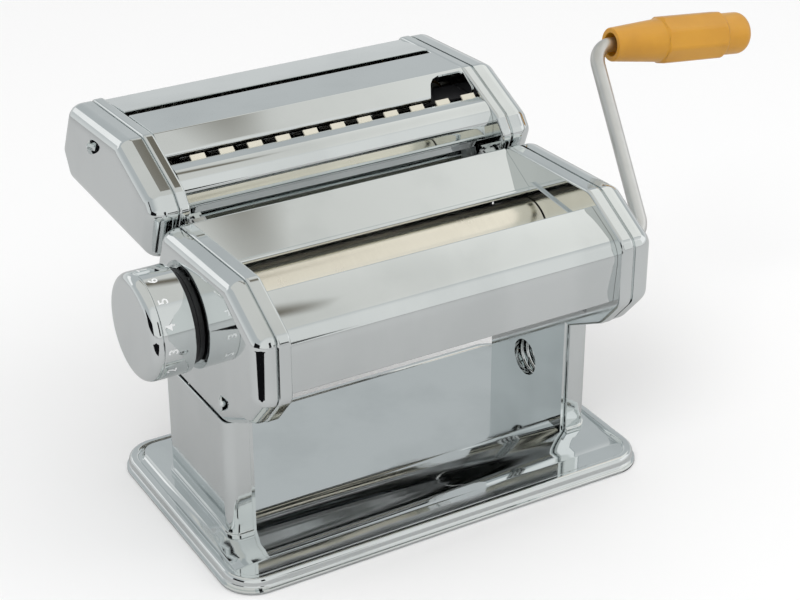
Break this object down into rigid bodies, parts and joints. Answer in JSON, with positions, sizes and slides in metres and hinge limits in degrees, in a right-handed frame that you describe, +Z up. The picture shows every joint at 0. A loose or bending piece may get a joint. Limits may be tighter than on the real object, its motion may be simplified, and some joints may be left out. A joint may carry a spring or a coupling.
{
  "type": "pasta roller machine",
  "caption": "Hand-cranked pasta roller: pressed base on two legs, geared rollers under a feed tray, thickness dial, bent crank with a grip, and a lift-off slotted noodle cutter.",
  "frame": {"origin": "middle of the base, on the surface that it stands on", "axes": "+X along the rollers towards the crank, -Y towards the front panel, +Z up"},
  "size_m": [0.3161, 0.1909, 0.1706],
  "materials": {
    "chrome": "mirror-polished plate",
    "roller_steel": "fine ground",
    "cutter_steel": "bright turned",
    "inner_steel": "plain zinc plate",
    "crank_steel": "satin zinc plate",
    "bush": "turned bronze",
    "grip_plastic": "moulded, honey yellow",
    "comb_plastic": "moulded, off white",
    "dark_plastic": "moulded, near black"
  },
  "bodies": {
    "machine_body": {"base_plate": "chrome", "leg_left": "chrome", "leg_right": "chrome", "leg_screws": "inner_steel", "side_plate_left": "chrome", "side_plate_right": "chrome", "cover_left": "chrome", "cover_right": "chrome", "cover_studs": "inner_steel", "cover_screws": "chrome", "front_panel": "chrome", "feed_tray": "chrome", "feed_guides": "chrome", "rear_panel": "chrome", "tie_rods": "inner_steel", "tie_screws": "inner_steel", "front_scraper": "inner_steel", "accessory_sockets": "inner_steel", "front_bushes": "bush", "adjuster_bush": "bush", "index_plate": "dark_plastic"},
    "front_roller": {"front_roller": "roller_steel", "front_gear": "inner_steel"},
    "carriage": {"bearing_block_left": "inner_steel", "bearing_block_right": "inner_steel", "rear_bushes": "bush", "carriage_rods": "inner_steel", "rear_scraper": "inner_steel"},
    "rear_roller": {"rear_roller": "roller_steel", "rear_gear": "inner_steel"},
    "adjuster": {"adjuster_shaft": "inner_steel", "knob_washer": "inner_steel", "knob_screw": "inner_steel", "knob_spring": "inner_steel"},
    "dial_knob": {"dial_knob": "chrome", "knob_cap": "chrome", "knob_pin": "inner_steel"},
    "crank": {"crank_arm": "crank_steel", "grip_clip": "inner_steel"},
    "crank_grip": {"crank_grip": "grip_plastic"},
    "cutter_unit": {"cutter_plate_left": "chrome", "cutter_plate_right": "chrome", "cutter_cover_left": "chrome", "cutter_cover_right": "chrome", "cutter_studs": "inner_steel", "cutter_screws": "chrome", "cutter_bushes": "bush", "cutter_rear_tray": "chrome", "cutter_centre_plate": "chrome", "cutter_apron": "chrome", "cutter_ties": "inner_steel", "cutter_hooks": "chrome", "wide_combs": "comb_plastic", "narrow_combs": "comb_plastic"},
    "wide_cutter_front": {"wide_cutter_front": "cutter_steel"},
    "wide_cutter_rear": {"wide_cutter_rear": "cutter_steel"},
    "narrow_cutter_front": {"narrow_cutter_front": "cutter_steel"},
    "narrow_cutter_rear": {"narrow_cutter_rear": "cutter_steel"}
  },
  "joints": [
    {"name": "front_roller_spin", "type": "hinge", "parent": "machine_body", "child": "front_roller", "pos_m": [0, -0.0297, 0.0955], "axis": [1, 0, 0], "continuous": true},
    {"name": "crank_pull", "type": "slide", "parent": "front_roller", "child": "crank", "axis": [1, 0, 0], "range_m": [0, 0.02]},
    {"name": "grip_spin", "type": "hinge", "parent": "crank", "child": "crank_grip", "pos_m": [0.13265, 0.02595, 0.16182], "axis": [0.9945, -0.0672, -0.0801], "continuous": true},
    {"name": "adjuster_turn", "type": "hinge", "parent": "machine_body", "child": "adjuster", "pos_m": [0, 0.0044, 0.0955], "axis": [1, 0, 0], "range_deg": [-80, 80]},
    {"name": "knob_pull", "type": "slide", "parent": "adjuster", "child": "dial_knob", "axis": [-1, 0, 0], "range_m": [0, 0.004], "stiffness_N_per_m": 600, "springref_m": -0.003, "deforming": ["knob_spring"]},
    {"name": "carriage_slide", "type": "slide", "parent": "machine_body", "child": "carriage", "axis": [0, 1, 0], "range_m": [-0.0009, 0.0009]},
    {"name": "rear_roller_spin", "type": "hinge", "parent": "carriage", "child": "rear_roller", "pos_m": [0, 0.0005, 0.0955], "axis": [1, 0, 0], "continuous": true},
    {"name": "cutter_lift", "type": "slide", "parent": "machine_body", "child": "cutter_unit", "axis": [0, -0.3576, 0.9339], "range_m": [0, 0.045]},
    {"name": "wide_rear_spin", "type": "hinge", "parent": "cutter_unit", "child": "wide_cutter_rear", "pos_m": [0, 0.0561, 0.1315], "axis": [1, 0, 0], "continuous": true},
    {"name": "wide_front_spin", "type": "hinge", "parent": "cutter_unit", "child": "wide_cutter_front", "pos_m": [0, 0.0409, 0.1315], "axis": [1, 0, 0], "continuous": true},
    {"name": "narrow_front_spin", "type": "hinge", "parent": "cutter_unit", "child": "narrow_cutter_front", "pos_m": [0, 0.0782, 0.1315], "axis": [1, 0, 0], "continuous": true},
    {"name": "narrow_rear_spin", "type": "hinge", "parent": "cutter_unit", "child": "narrow_cutter_rear", "pos_m": [0, 0.0934, 0.1315], "axis": [1, 0, 0], "continuous": true}
  ],
  "couplings": [
    {"joint": "rear_roller_spin", "follows": "front_roller_spin", "ratio": -1},
    {"joint": "adjuster_turn", "follows": "carriage_slide", "rad_per_m": -1552.8},
    {"joint": "wide_front_spin", "follows": "wide_rear_spin", "ratio": -1},
    {"joint": "narrow_rear_spin", "follows": "narrow_front_spin", "ratio": -1}
  ]
}
